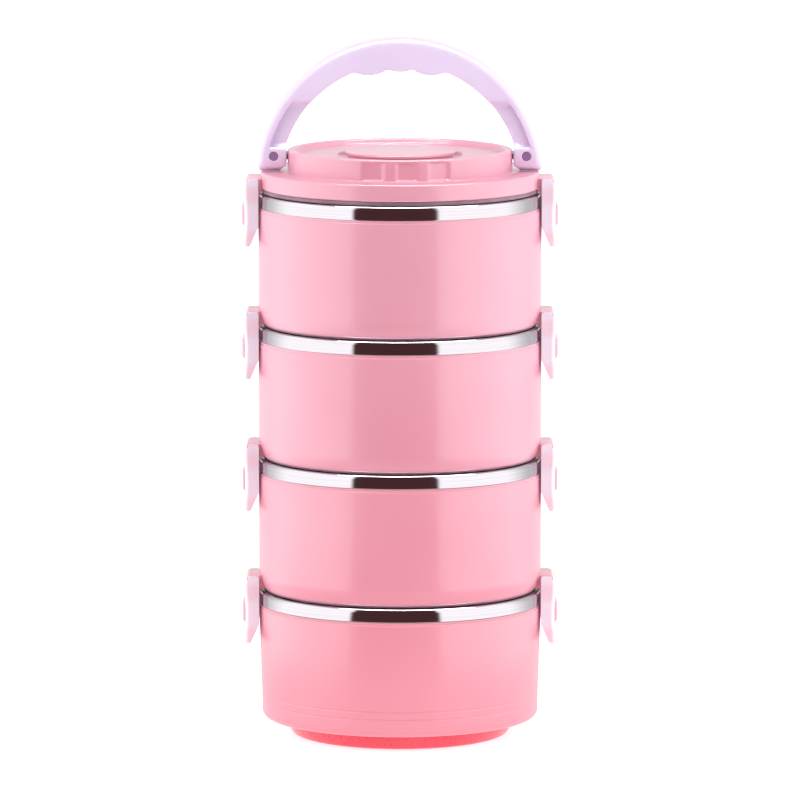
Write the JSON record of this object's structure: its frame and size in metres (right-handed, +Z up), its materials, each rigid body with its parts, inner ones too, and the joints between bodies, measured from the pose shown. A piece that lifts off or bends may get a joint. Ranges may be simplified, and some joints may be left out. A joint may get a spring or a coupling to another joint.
{
  "type": "tiffin carrier",
  "caption": "Cylindrical stacked lunch carrier: plastic tiers with steel bowls and bright rims, side latches, a stepped lid with a vent cap, and an arched swinging handle.",
  "frame": {"origin": "centre of the base foot's underside, on the stack's axis", "axes": "+Z up the stack towards the handle, +X towards the right-hand latches, -Y towards the side with the lid's flutes"},
  "size_m": [0.1454, 0.13, 0.3224],
  "materials": {
    "pink_shell": "smooth satin-gloss pink",
    "pink_lid": "smooth satin-gloss pink",
    "coral_foot": "smooth gloss coral pink",
    "white_plastic": "smooth cool white",
    "pink_pad": "smooth pink",
    "liner_plastic": "fine matt white",
    "steel": "polished rim, brushed inside",
    "bright_steel": "turned steel",
    "pin_heads": "dull purple-grey steel",
    "seal": "translucent grey silicone"
  },
  "bodies": {
    "tier_1": {"outer_shell_1": "pink_shell", "steel_bowl_1": "steel", "base_foot": "coral_foot", "foot_screw_1": "bright_steel", "foot_screw_2": "bright_steel", "foot_screw_3": "bright_steel"},
    "tier_2": {"outer_shell_2": "pink_shell", "steel_bowl_2": "steel", "seal_ring_2": "seal", "hinge_ear_1_left": "pink_shell", "latch_pin_1_left": "bright_steel", "hinge_ear_1_right": "pink_shell", "latch_pin_1_right": "bright_steel"},
    "tier_3": {"outer_shell_3": "pink_shell", "steel_bowl_3": "steel", "seal_ring_3": "seal", "hinge_ear_2_left": "pink_shell", "latch_pin_2_left": "bright_steel", "hinge_ear_2_right": "pink_shell", "latch_pin_2_right": "bright_steel"},
    "tier_4": {"outer_shell_4": "pink_shell", "steel_bowl_4": "steel", "seal_ring_4": "seal", "hinge_ear_3_left": "pink_shell", "latch_pin_3_left": "bright_steel", "hinge_ear_3_right": "pink_shell", "latch_pin_3_right": "bright_steel"},
    "lid": {"lid_cover": "pink_lid", "lid_liner": "liner_plastic", "lid_seal": "seal", "hinge_ear_4_left": "pink_lid", "latch_pin_4_left": "bright_steel", "hinge_ear_4_right": "pink_lid", "latch_pin_4_right": "bright_steel"},
    "vent": {"vent_cap": "pink_lid", "vent_seal": "seal"},
    "handle": {"handle": "white_plastic", "pivot_shaft_left": "bright_steel", "pivot_shaft_right": "bright_steel", "cross_pin_left": "pin_heads", "cross_pin_right": "pin_heads"},
    "latch_1_left": {"latch_1_left": "white_plastic", "latch_pad_1_left": "pink_pad"},
    "latch_1_right": {"latch_1_right": "white_plastic", "latch_pad_1_right": "pink_pad"},
    "latch_2_left": {"latch_2_left": "white_plastic", "latch_pad_2_left": "pink_pad"},
    "latch_2_right": {"latch_2_right": "white_plastic", "latch_pad_2_right": "pink_pad"},
    "latch_3_left": {"latch_3_left": "white_plastic", "latch_pad_3_left": "pink_pad"},
    "latch_3_right": {"latch_3_right": "white_plastic", "latch_pad_3_right": "pink_pad"},
    "latch_4_left": {"latch_4_left": "white_plastic", "latch_pad_4_left": "pink_pad"},
    "latch_4_right": {"latch_4_right": "white_plastic", "latch_pad_4_right": "pink_pad"}
  },
  "joints": [
    {"name": "tier_2_lift", "type": "slide", "parent": "tier_1", "child": "tier_2", "axis": [0, 0, 1], "range_m": [0, 0.06]},
    {"name": "tier_3_lift", "type": "slide", "parent": "tier_2", "child": "tier_3", "axis": [0, 0, 1], "range_m": [0, 0.06]},
    {"name": "tier_4_lift", "type": "slide", "parent": "tier_3", "child": "tier_4", "axis": [0, 0, 1], "range_m": [0, 0.06]},
    {"name": "lid_lift", "type": "slide", "parent": "tier_4", "child": "lid", "axis": [0, 0, 1], "range_m": [0, 0.06]},
    {"name": "vent_cap_lift", "type": "slide", "parent": "lid", "child": "vent", "axis": [0, 0, 1], "range_m": [0, 0.02]},
    {"name": "handle_swing", "type": "hinge", "parent": "lid", "child": "handle", "pos_m": [0, 0, 0.268], "axis": [1, 0, 0], "range_deg": [-55, 55]},
    {"name": "latch_1_left_open", "type": "hinge", "parent": "tier_2", "child": "latch_1_left", "pos_m": [-0.0679, 0, 0.0717], "axis": [0, 1, 0], "range_deg": [0, 110]},
    {"name": "latch_1_right_open", "type": "hinge", "parent": "tier_2", "child": "latch_1_right", "pos_m": [0.0679, 0, 0.0717], "axis": [0, -1, 0], "range_deg": [0, 110]},
    {"name": "latch_2_left_open", "type": "hinge", "parent": "tier_3", "child": "latch_2_left", "pos_m": [-0.0679, 0, 0.1329], "axis": [0, 1, 0], "range_deg": [0, 110]},
    {"name": "latch_2_right_open", "type": "hinge", "parent": "tier_3", "child": "latch_2_right", "pos_m": [0.0679, 0, 0.1329], "axis": [0, -1, 0], "range_deg": [0, 110]},
    {"name": "latch_3_left_open", "type": "hinge", "parent": "tier_4", "child": "latch_3_left", "pos_m": [-0.0679, 0, 0.1941], "axis": [0, 1, 0], "range_deg": [0, 110]},
    {"name": "latch_3_right_open", "type": "hinge", "parent": "tier_4", "child": "latch_3_right", "pos_m": [0.0679, 0, 0.1941], "axis": [0, -1, 0], "range_deg": [0, 110]},
    {"name": "latch_4_left_open", "type": "hinge", "parent": "lid", "child": "latch_4_left", "pos_m": [-0.0679, 0, 0.2553], "axis": [0, 1, 0], "range_deg": [0, 110]},
    {"name": "latch_4_right_open", "type": "hinge", "parent": "lid", "child": "latch_4_right", "pos_m": [0.0679, 0, 0.2553], "axis": [0, -1, 0], "range_deg": [0, 110]}
  ]
}
